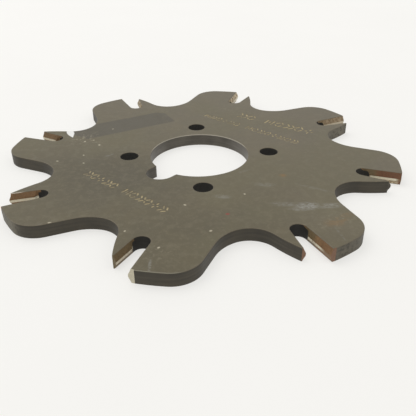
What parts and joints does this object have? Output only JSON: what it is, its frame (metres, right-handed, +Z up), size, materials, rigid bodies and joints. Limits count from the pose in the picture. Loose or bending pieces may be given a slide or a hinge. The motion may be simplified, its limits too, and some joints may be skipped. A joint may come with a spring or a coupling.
{
  "type": "slotting cutter disc",
  "caption": "Flat toothed steel cutter disc with a keyed centre bore, drive holes, deep chip gullets and springy clamping jaws beside empty insert slots.",
  "frame": {"origin": "centre of the bore, on the underside of the plate", "axes": "+Z up through the plate's thickness, along the bore; the four drive holes lie on the X and Y axes and the keyway points halfway between -X and -Y"},
  "size_m": [0.125, 0.125, 0.0039],
  "materials": {
    "body_steel": "black oxide over fine ground steel, dull olive grey, with worn bright edges",
    "jaw_steel": "black oxide with a rusty brown tint on the sloping slot faces and a worn bright crest"
  },
  "bodies": {
    "cutter": {"cutter_body": "body_steel"},
    "jaw_1": {"clamp_jaw_1": "jaw_steel"},
    "jaw_2": {"clamp_jaw_2": "jaw_steel"},
    "jaw_3": {"clamp_jaw_3": "jaw_steel"},
    "jaw_4": {"clamp_jaw_4": "jaw_steel"},
    "jaw_5": {"clamp_jaw_5": "jaw_steel"},
    "jaw_6": {"clamp_jaw_6": "jaw_steel"},
    "jaw_7": {"clamp_jaw_7": "jaw_steel"},
    "jaw_8": {"clamp_jaw_8": "jaw_steel"}
  },
  "joints": [
    {"name": "jaw_1_flex", "type": "hinge", "parent": "cutter", "child": "jaw_1", "pos_m": [0.04866, 0.01906, 0.00197], "axis": [0, 0, -1], "range_deg": [0, 0.8], "stiffness_Nm_per_rad": 1000},
    {"name": "jaw_2_flex", "type": "hinge", "parent": "cutter", "child": "jaw_2", "pos_m": [0.02093, 0.04788, 0.00197], "axis": [0, 0, -1], "range_deg": [0, 0.8], "stiffness_Nm_per_rad": 1000},
    {"name": "jaw_3_flex", "type": "hinge", "parent": "cutter", "child": "jaw_3", "pos_m": [-0.01906, 0.04866, 0.00197], "axis": [0, 0, -1], "range_deg": [0, 0.8], "stiffness_Nm_per_rad": 1000},
    {"name": "jaw_4_flex", "type": "hinge", "parent": "cutter", "child": "jaw_4", "pos_m": [-0.04788, 0.02093, 0.00197], "axis": [0, 0, -1], "range_deg": [0, 0.8], "stiffness_Nm_per_rad": 1000},
    {"name": "jaw_5_flex", "type": "hinge", "parent": "cutter", "child": "jaw_5", "pos_m": [-0.04866, -0.01906, 0.00197], "axis": [0, 0, -1], "range_deg": [0, 0.8], "stiffness_Nm_per_rad": 1000},
    {"name": "jaw_6_flex", "type": "hinge", "parent": "cutter", "child": "jaw_6", "pos_m": [-0.02093, -0.04788, 0.00197], "axis": [0, 0, -1], "range_deg": [0, 0.8], "stiffness_Nm_per_rad": 1000},
    {"name": "jaw_7_flex", "type": "hinge", "parent": "cutter", "child": "jaw_7", "pos_m": [0.01906, -0.04866, 0.00197], "axis": [0, 0, -1], "range_deg": [0, 0.8], "stiffness_Nm_per_rad": 1000},
    {"name": "jaw_8_flex", "type": "hinge", "parent": "cutter", "child": "jaw_8", "pos_m": [0.04788, -0.02093, 0.00197], "axis": [0, 0, -1], "range_deg": [0, 0.8], "stiffness_Nm_per_rad": 1000}
  ]
}
